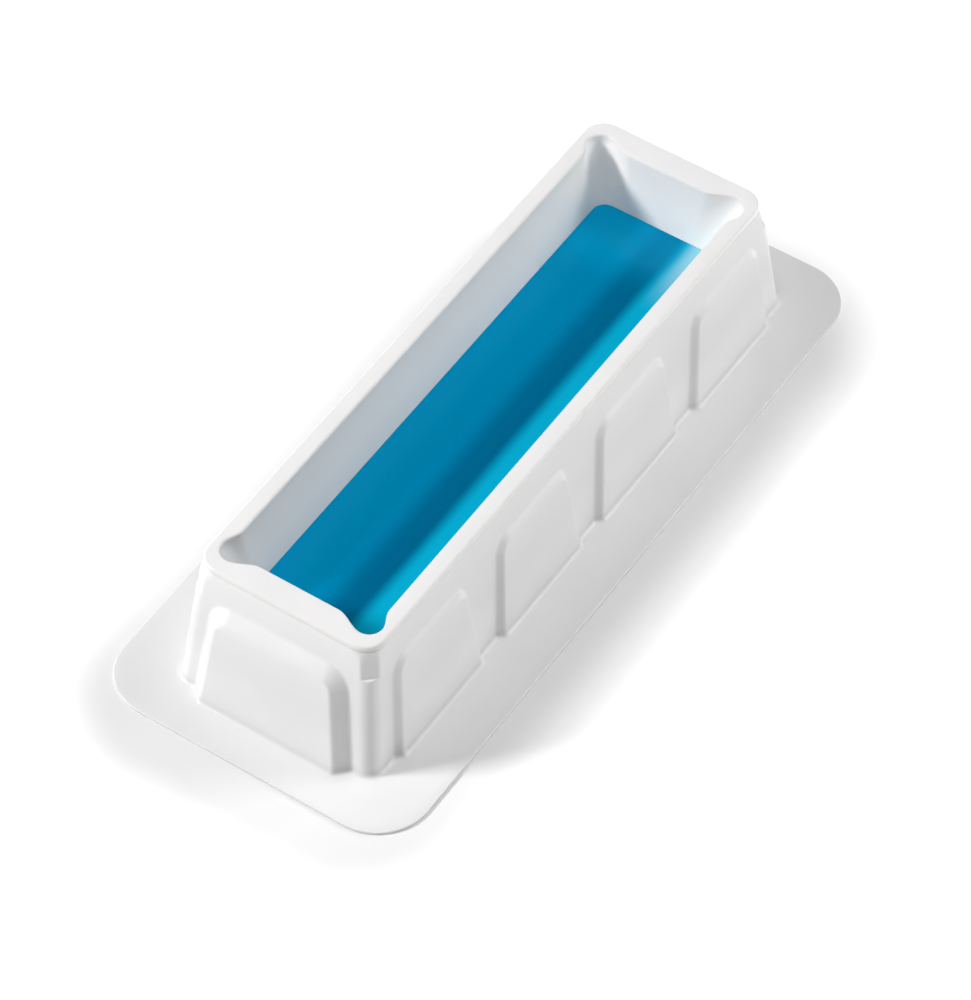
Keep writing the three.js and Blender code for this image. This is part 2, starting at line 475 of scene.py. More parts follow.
@dataclass(frozen=True)
class FormedPlastic:
    """White plastic sheet drawn over a form: satin gloss, faint orange peel, rubbed where it was handled.

    Attributes:
        white: Colour of the sheet.
        dull: Colour where it has picked up dust.
        painted_bounce_light: Colour low on the walls, lighter with painted light, for the light that the
            flange throws up.
        trimmed: Colour of the flange's edge and underside, lightened with painted light.
        stretch: Heights where the walls' painted light starts, is full, begins to fade and is gone.
        edge_light: Heights between which the edge's painted light gives way to the sheet's colour.
        dusty: Height up to which the walls pick up dust from the table.
        gloss: Roughness of the clean sheet.
        rubbed: Roughness of the handled patches.
        peel: Depth of the orange peel.
    """

    white: Colour = (0.755, 0.755, 0.76, 1.0)
    dull: Colour = (0.715, 0.713, 0.715, 1.0)
    painted_bounce_light: Colour = (0.86, 0.86, 0.865, 1.0)
    trimmed: Colour = (0.94, 0.94, 0.94, 1.0)
    stretch: tuple[float, float, float, float] = (1.6 * MM, 5.0 * MM, 8.0 * MM, 30.0 * MM)
    edge_light: tuple[float, float] = (0.9 * MM, 1.15 * MM)
    dusty: float = 9.0 * MM
    gloss: float = 0.28
    rubbed: float = 0.38
    peel: float = 0.004 * MM

    def material(self) -> bpy.types.Material:
        """Cloudy white with painted light low on the walls and on the flange's edge, rubbed patches in the
        gloss, and a fine peel.

        Returns:
            The finish as a material.
        """
        paint = Paint("formed_plastic")
        cloud = paint.step(paint.noise(22.0, 3.0), 0.35, 0.75)
        height = paint.axis("Z")
        # Painted light low on the walls, for the light that the flange throws up onto them.
        start, full, fade, gone = self.stretch
        bounce_light_share = paint.step(height, start, full) * (1.0 - paint.step(height, fade, gone))
        sheet = paint.mix(bounce_light_share, self.white, self.painted_bounce_light)
        # Painted light on the flange's edge and underside, low down on the sheet.
        sheet = paint.mix(paint.step(height, *self.edge_light), self.trimmed, sheet)
        low_down = 1.0 - paint.step(height, 0.0, self.dusty)
        dust = cloud * 0.45 + low_down * paint.noise(160.0, 4.0) * 0.15
        rub = paint.step(paint.noise(60.0, 5.0, (1.0, 0.35, 1.0)), 0.45, 0.7)
        peel = paint.noise(1400.0, 2.0) + paint.noise(180.0, 2.0) * 2.0
        links = {
            "Base Color": paint.mix(dust, sheet, self.dull),
            "Roughness": rub * (self.rubbed - self.gloss) + self.gloss,
            "Normal": paint.bump(peel, self.peel),
        }
        return paint.finish(links, {"IOR": 1.49})


@dataclass(frozen=True)
class WhiteSilicone:
    """White silicone rubber: soft gloss, slightly warm, with a fine mould grain and a few specks of lint.

    Attributes:
        white: Colour of the rubber.
        shade: Colour in its cloudy patches.
        shaded_near_end: Colour of the cavity at the near end, darker with painted shade.
        lit_far_end: Colour of the cavity towards the far end, lighter with painted light.
        lit_far_wall: Colour of the far end wall, the brightest, with painted light.
        speck: Colour of the lint.
        shade_to_light_ends: Y where the painted shade is deepest and where the painted light is full.
        shade_wander: How far the cloudy patches shift the painted shade.
        far_wall_light_ends: Y between which the far end's painted light gives way to the far wall's.
        brim: Heights between which the cavity's painted light and shade give way to the lip's colour.
        gloss: Roughness where it is smooth.
        matt: Roughness where it is dusty.
        grain: Depth of the mould grain.
    """

    white: Colour = (0.755, 0.745, 0.745, 1.0)
    shade: Colour = (0.73, 0.725, 0.725, 1.0)
    shaded_near_end: Colour = (0.76, 0.738, 0.72, 1.0)
    lit_far_end: Colour = (0.87, 0.84, 0.815, 1.0)
    lit_far_wall: Colour = (0.96, 0.93, 0.91, 1.0)
    speck: Colour = (0.62, 0.61, 0.6, 1.0)
    shade_to_light_ends: tuple[float, float] = (-115.0 * MM, 115.0 * MM)
    shade_wander: float = 20.0 * MM
    far_wall_light_ends: tuple[float, float] = (100.0 * MM, 107.0 * MM)
    brim: tuple[float, float] = (57.2 * MM, 58.4 * MM)
    gloss: float = 0.30
    matt: float = 0.46
    grain: float = 0.010 * MM

    def material(self) -> bpy.types.Material:
        """Cloudy white with painted shade and light in the cavity, sparse specks, dusty patches and a fine
        grain.

        Returns:
            The finish as a material.
        """
        paint = Paint("white_silicone")
        cloud = paint.step(paint.noise(35.0, 4.0), 0.35, 0.7)
        skin = paint.mix(cloud, self.white, self.shade)
        along = paint.axis("Y")
        # Painted shade at the cavity's near end, painted light towards the far end, brightest on the far end
        # wall.
        far_light_share = paint.step(along + cloud * self.shade_wander, *self.shade_to_light_ends, smooth=False)
        cavity = paint.mix(far_light_share, self.shaded_near_end, self.lit_far_end)
        cavity = paint.mix(paint.step(along, *self.far_wall_light_ends), cavity, self.lit_far_wall)
        # Keeps the cavity's painted light and shade below the lip.
        inside = 1.0 - paint.step(paint.axis("Z"), *self.brim)
        body = paint.mix(inside, skin, cavity)
        cells = {"Vector": paint.place, "Scale": 260.0}
        spot = paint.node("ShaderNodeTexVoronoi", inputs=cells, output="Distance")
        lint = (1.0 - paint.step(spot, 0.03, 0.06)) * 0.35
        dusty = paint.step(paint.noise(90.0, 5.0), 0.45, 0.75)
        grain = paint.noise(2200.0, 2.0) + paint.noise(240.0, 2.0) * 1.6
        links = {
            "Base Color": paint.mix(lint, body, self.speck),
            "Roughness": dusty * (self.matt - self.gloss) + self.gloss,
            "Normal": paint.bump(grain, self.grain),
        }
        constants = {
            "IOR": 1.43,
            "Subsurface Weight": 0.12,
            "Subsurface Radius": (1.0, 0.95, 0.9),
            "Subsurface Scale": 1.2 * MM,
        }
        return paint.finish(links, constants)


@dataclass(frozen=True)
class BlueSoap:
    """Clear-based blue soap: glossy and deep, with painted shade and painted light in bands along the loaf.

    Attributes:
        blue: Colour of the body of the loaf.
        far_lit_blue: Colour of the body at the far end, lighter with painted light.
        painted_shade: Colour of the band of painted shade.
        painted_light: Colour of the painted light along the +X side.
        painted_highlight: Colour of the painted highlight at the lit side's far corner.
        shade_band: X where the painted shade starts, is darkest, and ends.
        hold: How far past its darkest line the painted shade holds before the painted light begins.
        highlight_ends: How far from the shade's end the painted highlight begins, and where it is full.
        far_end: Y where painted light begins to lighten the body, and where it is lightest.
        wander: How far the swirls shift the bands sideways.
        gloss: Roughness of the skin.
        sweat: Roughness of the damp-looking patches.
        dimples: Depth of the small bubbles and waves in the skin.
    """

    blue: Colour = (0.0, 0.265, 0.5, 1.0)
    far_lit_blue: Colour = (0.0, 0.38, 0.7, 1.0)
    painted_shade: Colour = (0.0, 0.112, 0.232, 1.0)
    painted_light: Colour = (0.002, 0.365, 0.575, 1.0)
    painted_highlight: Colour = (0.24, 0.54, 0.67, 1.0)
    shade_band: tuple[float, float, float] = (-9.5 * MM, 3.5 * MM, 14.0 * MM)
    hold: float = 4.5 * MM
    highlight_ends: tuple[float, float] = (-3.5 * MM, 3.0 * MM)
    far_end: tuple[float, float] = (74.0 * MM, 104.0 * MM)
    wander: float = 3.0 * MM
    gloss: float = 0.12
    sweat: float = 0.22
    dimples: float = 0.02 * MM

    def material(self) -> bpy.types.Material:
        """Bands of painted shade and painted light along the loaf, faint swirls, and a skin with small
        dimples.

        Returns:
            The finish as a material.
        """
        paint = Paint("blue_soap")
        swirl = paint.noise(28.0, 3.0, (1.0, 0.3, 1.0)) - 0.5
        across = paint.axis("X") + swirl * self.wander
        start, darkest, stop = self.shade_band
        highlight_start, highlight_full = self.highlight_ends
        # Painted shade: a dark band along the loaf; painted light: a lit strip along its +X side.
        painted_shade = paint.step(across, start, darkest)
        painted_light = paint.step(across, darkest + self.hold, stop)
        # Painted light that lightens the far end of the loaf.
        far = paint.step(paint.axis("Y"), *self.far_end)
        body = paint.mix(painted_shade * (1.0 - far * 0.3), paint.mix(far, self.blue, self.far_lit_blue), self.painted_shade)
        # Painted highlight at the lit strip's far corner.
        lit = paint.mix(far * paint.step(across, stop + highlight_start, stop + highlight_full), self.painted_light, self.painted_highlight)
        cells = {"Vector": paint.place, "Scale": 420.0}
        bubble = paint.node("ShaderNodeTexVoronoi", inputs=cells, output="Distance")
        dimple = paint.step(bubble, 0.0, 0.12) * 0.5
        skin = dimple + paint.noise(70.0, 2.0) * 3.0
        damp = paint.step(paint.noise(55.0, 4.0), 0.45, 0.7)
        links = {
            "Base Color": paint.mix(painted_light, body, lit),
            "Roughness": damp * (self.sweat - self.gloss) + self.gloss,
            "Normal": paint.bump(skin, self.dimples),
        }
        constants = {"IOR": 1.45, "Specular IOR Level": 0.06}
        return paint.finish(links, constants)


@dataclass(frozen=True)
class RaisedPanel:
    """A plateau raised out of a wall: a tapered outline with round top corners and sloped edges.

    Attributes:
        half_foot: Half width of the outline at the table.
        half_top: Half width of the outline at its top.
        rise: How far the face stands out.
        corner: Radius of the top corners.
        top: Height of the outline's top.
        rounding: Half width of the slope's rounded foot and brow, as a share of the rise.
    """

    half_foot: float
    half_top: float
    rise: float
    corner: float
    top: float
    rounding: float = 0.13

    @property
    def face_top(self) -> float:
        """Height below which the face's sides are straight."""
        return self.top - self.rise - self.corner

    def height(self, along: Array, z: Array, shrink: float) -> Array:
        """How far the wall stands out at each point.

        The distance inside the outline is the smaller of the distances to the tapered side and to the top.
        In a top corner it is the corner radius less the distance from the corner circle's centre. A soft
        ramp turns it into height.

        Args:
            along: Distance along the wall from the panel's middle.
            z: Height above the table.
            shrink: How far the outline is drawn in, for the inside of the sheet.

        Returns:
            The height out of the wall.
        """
        taper = (self.half_foot - self.half_top) / self.top
        side = (self.half_foot - taper * z - np.abs(along)) / math.hypot(1.0, taper) - shrink
        head = self.top - z - shrink
        corner = self.corner - np.hypot(self.corner - side, self.corner - head)
        in_corner = (side < self.corner) & (head < self.corner)
        return soft_ramp(np.where(in_corner, corner, np.minimum(side, head)), self.rise, self.rounding)


@dataclass(frozen=True)
class CavityShape:
    """The cavity's outline at each height: drafted walls, round corners, and a pocket in each corner.

    Attributes:
        brim: Height where the straight walls end under the lip.
        level: Height of the soap's face, where the pockets have faded out.
        half_x: Half width under the lip.
        half_y: Half length under the lip.
        corner: Corner radius.
        draft_x: Lean of the long walls, as run over height.
        draft_y: Lean of the end walls, as run over height.
        pocket_x: How far a pocket reaches past the long wall.
        pocket_y: How far a pocket reaches past the end wall.
        run_x: Width of a pocket along the end wall.
        run_y: Width of a pocket along the long wall.
        floor_round: Radius between the walls and the cavity's floor.
    """

    brim: float
    level: float
    half_x: float = 29.4 * MM
    half_y: float = 112.4 * MM
    corner: float = 5.2 * MM
    draft_x: float = math.tan(math.radians(8.3))
    draft_y: float = math.tan(math.radians(4.4))
    pocket_x: float = 2.6 * MM
    pocket_y: float = 3.9 * MM
    run_x: float = 14.0 * MM
    run_y: float = 9.0 * MM
    floor_round: float = 4.0 * MM

    def rings(self, stations: Stations, z: Array, grow: Array | float) -> Array:
        """Rings of the cavity's outline.

        Each ring is a round-cornered rectangle as wide as the pockets. Between the pockets its sides are
        drawn back to the walls by a smooth step along each side and each end.

        Args:
            stations: Where the samples stand.
            z: Height of each ring.
            grow: How far each ring lies outside the cavity's surface.

        Returns:
            Rows of points.
        """
        height = z[:, None]
        more = np.broadcast_to(np.asarray(grow, float), z.shape)[:, None]
        drop = np.clip(self.brim - height, 0.0, None)
        swell = np.clip((height - self.level) / (self.brim - self.level), 0.0, 1.0)
        half_x = self.half_x - drop * self.draft_x + more
        half_y = self.half_y - drop * self.draft_y + more
        out_x, out_y = self.pocket_x * swell, self.pocket_y * swell
        radius = np.clip(self.corner + more, SHARPEST, stations.square)
        x, y = stations.place(half_x + out_x, half_y + out_y, stations.round_reach(radius))
        along_side = smooth_step(np.abs(y), half_y - self.run_y, half_y + out_y - radius)
        along_end = smooth_step(np.abs(x), half_x - self.run_x, half_x + out_x - radius)
        x = x - np.sign(x) * out_x * (1.0 - along_side)
        y = y - np.sign(y) * out_y * (1.0 - along_end)
        return ring_rows(x, y, height)


def quarter_arc(steps: int) -> tuple[Array, Array]:
    """Sine and one less cosine over a quarter turn, as the two ways across a rounded edge."""
    angle = np.linspace(0.0, math.pi / 2.0, steps + 1)
    return np.sin(angle), 1.0 - np.cos(angle)


def toward_middle(ring: Array, shares: Array) -> Array:
    """Rows that shrink a ring towards its middle point, to shares of its size."""
    middle = ring.mean(axis=0)
    return middle + shares[:, None, None] * (ring - middle)


@dataclass
class CarrierTray:
    """The formed tray: flange, flared skirt with raised panels, cut corners over round columns, and a ledge.

    Attributes:
        cavity: Shape of the cavity that hangs in the tray's mouth.
        brim: Height of the lip's top.
        sheet: Thickness of the sheet.
        half_x: Half width of the skirt, projected up to the lip's top.
        half_y: Half length of the skirt, projected up to the lip's top.
        draft_x: Lean of the long walls, as run over height.
        draft_y: Lean of the end walls, as run over height.
        column_radius: Radius of the round upright columns at the corners.
        column_top: Height where the columns end in a small shoulder.
        corner_cut: Length that the flat cuts above the shoulder take off each wall.
        cut_easing: Distance over which the edges of those cuts are eased.
        shoulder_half: Half height of the shoulder.
        round_over: Height under the top over which the cuts turn into the lip's round corners.
        flange_corner: Radius of the flange's corners.
        foot_round: Radius between the walls and the flange.
        foot_bend: Radius between the walls and the flange inside the sheet.
        brow_edge: Radius of the edge round the ledge, and of the flange's top edge.
        trimmed_edge: Radius of the flange's lower edge.
        hem: How far the underside's outline is drawn in from the edge.
        roof_edge: Size of the chamfer between the inside of the walls and the underside of the ledge.
        liner_wall: Thickness of the liner's walls, which pass through the tray's mouth.
        clearance: Gap between the mouth and the liner.
        side_panels: How many panels each long side has.
        pitch: Distance between their middles.
        side_panel: Shape of the panels on the long sides.
        end_panel: Shape of the panels on the ends.
        stations: Where the samples stand round the tray.
        top: Height of the ledge.
        flange_half: Half width and half length of the flange.
    """

    cavity: CavityShape
    brim: float
    sheet: float = 1.2 * MM
    half_x: float = 35.6 * MM
    half_y: float = 122.4 * MM
    draft_x: float = math.tan(math.radians(5.1))
    draft_y: float = math.tan(math.radians(8.3))
    column_radius: float = 5.6 * MM
    column_top: float = 44.5 * MM
    corner_cut: float = 4.6 * MM
    cut_easing: float = 0.35 * MM
    shoulder_half: float = 0.35 * MM
    round_over: float = 5.0 * MM
    flange_corner: float = 20.0 * MM
    foot_round: float = 1.6 * MM
    foot_bend: float = 1.0 * MM
    brow_edge: float = 0.35 * MM
    trimmed_edge: float = 0.08 * MM
    hem: float = 0.5 * MM
    roof_edge: float = 0.4 * MM
    liner_wall: float = 2.0 * MM
    clearance: float = 0.3 * MM
    side_panels: int = 4
    pitch: float = 61.45 * MM
    side_panel: RaisedPanel = RaisedPanel(26.0 * MM, 20.8 * MM, 2.3 * MM, 7.0 * MM, 45.0 * MM)
    end_panel: RaisedPanel = RaisedPanel(32.2 * MM, 27.2 * MM, 4.6 * MM, 8.0 * MM, 45.0 * MM)
    stations: Stations = field(init=False)
    top: float = field(init=False)
    flange_half: tuple[float, float] = field(init=False)

    def __post_init__(self) -> None:
        """Takes the flange and the top from the frame and spreads the stations."""
        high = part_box("carrier_tray")[1]
        self.top = high.z
        self.flange_half = (high.x, high.y)
        self.stations = self._stations()

    def _stations(self) -> Stations:
        """Spreads the stations: close together where panel edges pass, and far apart on the flats.

        Returns:
            The stations, as shares of the skirt's size at the table.
        """
        inner_side = self.half_y + self.brim * self.draft_y - CORNER_SQUARE
        inner_end = self.half_x + self.brim * self.draft_x - CORNER_SQUARE
        margin = 1.5 * MM
        edge = self.side_panel.half_foot + margin
        face = self.side_panel.half_top - self.side_panel.corner
        near, far = 0.5 * self.pitch, 1.5 * self.pitch
        stops = [0.0, near - edge, near - face, near + face, near + edge]
        stops += [far - edge, far - face, far + face, far + edge, inner_side]
        side = graded(stops, [2, 24, 8, 24, 3, 24, 8, 24, 2]) / inner_side
        end_face = self.end_panel.half_top - self.end_panel.corner - self.end_panel.rise
        end = graded([inner_end, end_face, 0.0], [30, 5]) / inner_end
        return Stations.around(side, end, 22, CORNER_SQUARE)

    def _skirt(self, z: Array, inset: Array, inside: float) -> Array:
        """Rings of the skirt.

        The outline is the flared rectangle. Its corners go from round columns, over a small shoulder, to
        flat cuts, and near the top to the lip's radius. The panels' heights are added straight out of the
        walls.

        Args:
            z: Height of each ring.
            inset: How far each ring lies inside the skirt's outer face, negative on the foot's rounding.
            inside: The sheet's thickness on its inside face, or 0 on its outside face.

        Returns:
            Rows of points.
        """
        s = self.stations
        height, back = z[:, None], inset[:, None]
        half_x = self.half_x + (self.brim - height) * self.draft_x - back
        half_y = self.half_y + (self.brim - height) * self.draft_y - back
        column = s.round_reach(max(self.column_radius - inside, SHARPEST) * np.ones_like(height))
        cut = s.cut_reach(self.corner_cut - inside * (2.0 - math.sqrt(2.0)), self.cut_easing)
        round_top = s.round_reach((LIP_RADIUS - inside) * np.ones_like(height))
        shoulder = self.column_top - inside
        above = smooth_step(height, shoulder - self.shoulder_half, shoulder + self.shoulder_half)
        toward_lip = smooth_step(height, self.top - self.round_over, self.top)
        upper = cut + toward_lip * (round_top - cut)
        x, y = s.place(half_x, half_y, column + above * (upper - column))
        shrink = inside * (math.sqrt(2.0) - 1.0)
        number = np.minimum(np.floor(np.abs(y) / self.pitch), self.side_panels // 2 - 1)
        middle = (number + 0.5) * self.pitch
        on_side = np.abs(s.out_x) > np.abs(s.out_y)
        side = self.side_panel.height(np.abs(y) - middle, height, shrink)
        end = self.end_panel.height(x, height, shrink)
        x = x + np.where(on_side, np.sign(x) * side, 0.0)
        y = y + np.where(on_side, 0.0, np.sign(y) * end)
        return ring_rows(x, y, height)

    def _flange(self, inset: Array, z: Array) -> Array:
        """Rings of the flange's outline, a rectangle with round corners.

        Args:
            inset: How far each ring is drawn in.
            z: Height of each ring.

        Returns:
            Rows of points.
        """
        half_x, half_y = self.flange_half
        wide = replace(self.stations, square=self.flange_corner)
        back = inset[:, None]
        reach = wide.round_reach(self.flange_corner * np.ones_like(back)) - back
        x, y = wide.place(half_x * np.ones_like(back), half_y * np.ones_like(back), reach)
        return ring_rows(x, y, z[:, None])

    @staticmethod
    def _shoulder_stops(shoulder: float) -> list[float]:
        """Heights from above to below a shoulder, between which the rows change their spacing."""
        return [shoulder + 3.0 * MM, shoulder + 0.4 * MM, shoulder - 0.4 * MM]

    def _outside(self) -> list[Array]:
        """Rows from the mouth's edge over the ledge and down the skirt to the flange's edge.

        Returns:
            Groups of rows, in order.
        """
        edge = self.brow_edge
        sine, rest = quarter_arc(4)
        mouth = self.cavity.rings(self.stations, np.array([self.top]), self.liner_wall + self.clearance)
        brow = self._skirt(self.top - edge * rest, edge * (1.0 - sine), 0.0)
        stops = [self.top - edge, *self._shoulder_stops(self.column_top)]
        stops += [self.end_panel.face_top, self.sheet + self.foot_round]
        wall_z = graded(stops, [6, 5, 6, 20, 14])[1:]
        wall = self._skirt(wall_z, np.zeros(wall_z.size), 0.0)
        foot_z = self.sheet + self.foot_round * (1.0 - sine[1:])
        foot = self._skirt(foot_z, -self.foot_round * rest[1:], 0.0)
        rim = self._flange(np.array([edge]), np.array([self.sheet]))
        flat = between(foot[-1:], rim, np.linspace(0.0, 1.0, 7)[1:])
        ledge = between(mouth, brow[:1], np.array([0.0, 0.3, 0.7]))
        return [ledge, brow, wall, foot, flat]

    def _edge(self) -> Array:
        """Rows round the flange's outer edge: a rounded top edge and a nearly sharp trimmed one below.

        Returns:
            Rows of points.
        """
        eased, trimmed = self.brow_edge, self.trimmed_edge
        sine, rest = quarter_arc(3)
        inset = np.concatenate([eased * (1.0 - sine[1:]), trimmed * rest[1:]])
        z = np.concatenate([self.sheet - eased * rest[1:], trimmed * (1.0 - sine[1:])])
        return self._flange(inset, z)

    def _inside(self) -> list[Array]:
        """Rows from the flange's underside up the inside of the skirt to the mouth's lower edge.

        Returns:
            Groups of rows, in order.
        """
        sine, rest = quarter_arc(4)
        bend, chamfer = self.foot_bend, self.roof_edge
        foot = self._skirt(bend * rest, self.sheet - bend * (1.0 - sine), self.sheet)
        rim = self._flange(np.array([self.hem]), np.array([0.0]))
        under = between(rim, foot[:1], np.linspace(0.0, 1.0, 6)[1:-1])
        ceiling = self.top - self.sheet
        shoulder = self._shoulder_stops(self.column_top - self.sheet)[::-1]
        wall_z = graded([bend, self.end_panel.face_top, *shoulder, ceiling - chamfer], [10, 16, 5, 4, 4])[1:]
        wall = self._skirt(wall_z, np.full(wall_z.size, self.sheet), self.sheet)
        roof = self._skirt(np.array([ceiling]), np.array([self.sheet + chamfer]), self.sheet)
        mouth = self.cavity.rings(self.stations, np.array([ceiling]), self.liner_wall + self.clearance)
        return [under, foot, wall, between(roof, mouth, np.array([0.0, 0.5, 1.0]))]

    def build(self, material: bpy.types.Material) -> bpy.types.Object:
        """Makes the tray, dresses it and puts it on its body.

        Args:
            material: Its finish.

        Returns:
            The finished piece.
        """
        rows = np.concatenate([*self._outside(), self._edge(), *self._inside()])
        made = surface("formed_tray", rows, Ends.JOINED)
        return dress(made, material, "carrier_tray", "tray")


@dataclass
class SiliconeLiner:
    """The liner: a soft cavity with corner pockets, closed at the bottom, hanging from a flat lip.

    Attributes:
        cavity: Shape of the cavity.
        wall: Thickness of its walls.
        edge: Radius of the lip's upper edges.
        heel: Radius of the lip's lower edge.
        neck: Radius between the underside of the lip and the walls.
        lip: Thickness of the lip.
        stations: Where the samples stand round the liner.
        floor: Height of the cavity's floor.
        top: Height of the lip's top.
        lip_half: Half width and half length of the lip.
    """

    cavity: CavityShape
    wall: float = 2.0 * MM
    edge: float = 1.1 * MM
    heel: float = 0.2 * MM
    neck: float = 1.0 * MM
    lip: float = 2.44 * MM
    stations: Stations = field(init=False)
    floor: float = field(init=False)
    top: float = field(init=False)
    lip_half: tuple[float, float] = field(init=False)

    def __post_init__(self) -> None:
        """Takes the heights and the lip's size from the frame and spreads the stations."""
        low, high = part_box("silicone_liner")
        self.top = high.z
        self.floor = low.z + self.wall
        self.lip_half = (high.x, high.y)
        self.stations = cavity_stations(self.cavity)

    def _lip(self, z: Array, inset: Array) -> Array:
        """Rings of the lip's outline, a rectangle with round corners.

        Args:
            z: Height of each ring.
            inset: How far each ring is drawn in.

        Returns:
            Rows of points.
        """
        back = inset[:, None]
        reach = self.stations.round_reach(LIP_RADIUS * np.ones_like(back)) - back
        ones = np.ones_like(back)
        x, y = self.stations.place(self.lip_half[0] * ones, self.lip_half[1] * ones, reach)
        return ring_rows(x, y, z[:, None])

    def _hollow(self) -> list[Array]:
        """Rows from the middle of the cavity's floor, out and up its walls, to the lip's inner edge.

        Returns:
            Groups of rows, in order.
        """
        s, shape = self.stations, self.cavity
        sine, rest = quarter_arc(ARC_STEPS)
        bowl_z = self.floor + shape.floor_round * rest
        bowl = shape.rings(s, bowl_z, -shape.floor_round * (1.0 - sine))
        wall_z = graded([bowl_z[-1], shape.level, self.top - self.edge], [6, 16])[1:]
        wall = shape.rings(s, wall_z, 0.0)
        brow = shape.rings(s, self.top - self.edge * (1.0 - sine[1:]), self.edge * rest[1:])
        return [toward_middle(bowl[0], QUARTERS), bowl, wall, brow]

    def _lip_rows(self) -> list[Array]:
        """Rows across the lip's top, over its outer edge and down to its lower edge.

        Returns:
            Groups of rows, in order.
        """
        sine, rest = quarter_arc(ARC_STEPS)
        outer = self._lip(self.top - self.edge * rest, self.edge * (1.0 - sine))
        inner = self.cavity.rings(self.stations, np.array([self.top]), self.edge)
        flat = between(inner, outer[:1], np.array([0.33, 0.67]))
        foot = self._lip(self.top - self.lip + self.heel * (1.0 - sine[1:]), self.heel * rest[1:])
        return [flat, outer, foot]

    def _outer_skin(self) -> list[Array]:
        """Rows in under the lip, over the neck's rounding and down the outside to the middle of the base.

        Returns:
            Groups of rows, in order.
        """
        s, shape = self.stations, self.cavity
        sine, rest = quarter_arc(ARC_STEPS)
        under_z = self.top - self.lip
        round_over = self.neck * (1.0 - sine[:-1])
        neck = shape.rings(s, under_z - self.neck * rest[:-1], self.wall + round_over)
        foot = self._lip(np.array([under_z]), np.array([self.heel]))
        under = between(foot, neck[:1], np.array([0.4, 0.8]))
        wall_z = graded([under_z - self.neck, shape.level, self.floor + shape.floor_round], [8, 5])
        wall = shape.rings(s, wall_z, self.wall)
        bend = shape.floor_round + self.wall
        belly_z = self.floor - self.wall + bend * rest[-2::-1]
        belly = shape.rings(s, belly_z, self.wall - bend * (1.0 - sine[-2::-1]))
        return [under, neck, wall, belly, toward_middle(belly[-1], QUARTERS[::-1])]

    def build(self, material: bpy.types.Material) -> bpy.types.Object:
        """Makes the liner, dresses it and puts it on its body.

        Args:
            material: Its finish.

        Returns:
            The finished piece.
        """
        rows = np.concatenate([*self._hollow(), *self._lip_rows(), *self._outer_skin()])
        made = surface("liner_skin", rows, Ends.POLES)
        return dress(made, material, "silicone_liner", "liner")


@dataclass
class SoapLoaf:
    """The cast loaf: it fills the bottom of the cavity and has a flat face with a thin raised meniscus.

    Attributes:
        cavity: Shape of the cavity that it set in.
        clearance: Gap to the cavity's walls.
        meniscus: How far the face climbs at the walls.
        climb: Distance from the walls over which it climbs.
        first_drop: Depth of the first ring of the sides under the face.
        stations: Where the samples stand round the loaf.
        floor: Height of the loaf's foot.
    """

    cavity: CavityShape
    clearance: float = 0.08 * MM
    meniscus: float = 0.3 * MM
    climb: float = 2.0 * MM
    first_drop: float = 0.2 * MM
    stations: Stations = field(init=False)
    floor: float = field(init=False)

    def __post_init__(self) -> None:
        """Takes the loaf's foot from the frame and spreads the stations."""
        self.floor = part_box("soap_loaf")[0].z
        self.stations = cavity_stations(self.cavity)

    def build(self, material: bpy.types.Material) -> bpy.types.Object:
        """Makes the loaf, dresses it and puts it on its body.

        The face is level in the middle and climbs by the meniscus towards the walls, as the square of the
        closeness to them over the climb.

        Args:
            material: Its finish.

        Returns:
            The finished piece.
        """
        s, shape = self.stations, self.cavity
        sine, rest = quarter_arc(ARC_STEPS)
        gap, bend = -self.clearance, shape.floor_round
        away = np.linspace(1.0, 0.0, 7)
        rim = shape.rings(s, np.full(away.size, shape.level), gap - self.climb * away)
        rim[..., 2] = (shape.level - self.meniscus * (1.0 - (1.0 - away) ** 2))[:, None]
        face = toward_middle(rim[0], np.linspace(0.08, 0.92, 12))
        wall_z = np.linspace(shape.level - self.first_drop, self.floor + bend, 9)
        wall = shape.rings(s, wall_z, gap)
        belly = shape.rings(s, self.floor + bend * rest[-2::-1], gap - bend * (1.0 - sine[-2::-1]))
        under = toward_middle(belly[-1], QUARTERS[::-1])
        made = surface("poured_loaf", np.concatenate([face, rim, wall, belly, under]), Ends.POLES)
        return dress(made, material, "soap_loaf", "soap")


def cavity_stations(shape: CavityShape) -> Stations:
    """Stations for rings of the cavity, close together round the corner pockets.

    Args:
        shape: The cavity's shape.

    Returns:
        The stations, as shares of the cavity's size at its brim.
    """
    margin_y, margin_x = 4.0 * MM, 3.0 * MM
    inner_side = shape.half_y + shape.pocket_y - CORNER_SQUARE
    inner_end = shape.half_x + shape.pocket_x - CORNER_SQUARE
    side = graded([0.0, shape.half_y - shape.run_y - margin_y, inner_side], [14, 16]) / inner_side
    end = graded([inner_end, shape.half_x - shape.run_x - margin_x, 0.0], [16, 6]) / inner_end
    return Stations.around(side, end, 26, CORNER_SQUARE)


def dress(
    piece: bpy.types.Object, material: bpy.types.Material, node: str, body: str
) -> bpy.types.Object:
    """Gives a piece its finish and ties it to the frame.

    Args:
        piece: The finished mesh.
        material: Its finish.
        node: The frame's node that it stands in for.
        body: The body that it rides on.

    Returns:
        The piece.
    """
    piece.data.materials.append(material)
    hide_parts(node)
    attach(piece, body)
    LOG.info("%s: %d faces, %s, on body %s", piece.name, len(piece.data.polygons), material.name, body)
    return piece


@dataclass(frozen=True)
class Lamp:
    """A square soft light on a sphere round the mould.

    Attributes:
        name: Name of the light.
        azimuth: Degrees round from straight in front, to the right.
        elevation: Degrees above the table.
        size: Side of the light.
        power: Watts.
    """

    name: str
    azimuth: float
    elevation: float
    size: float
    power: float


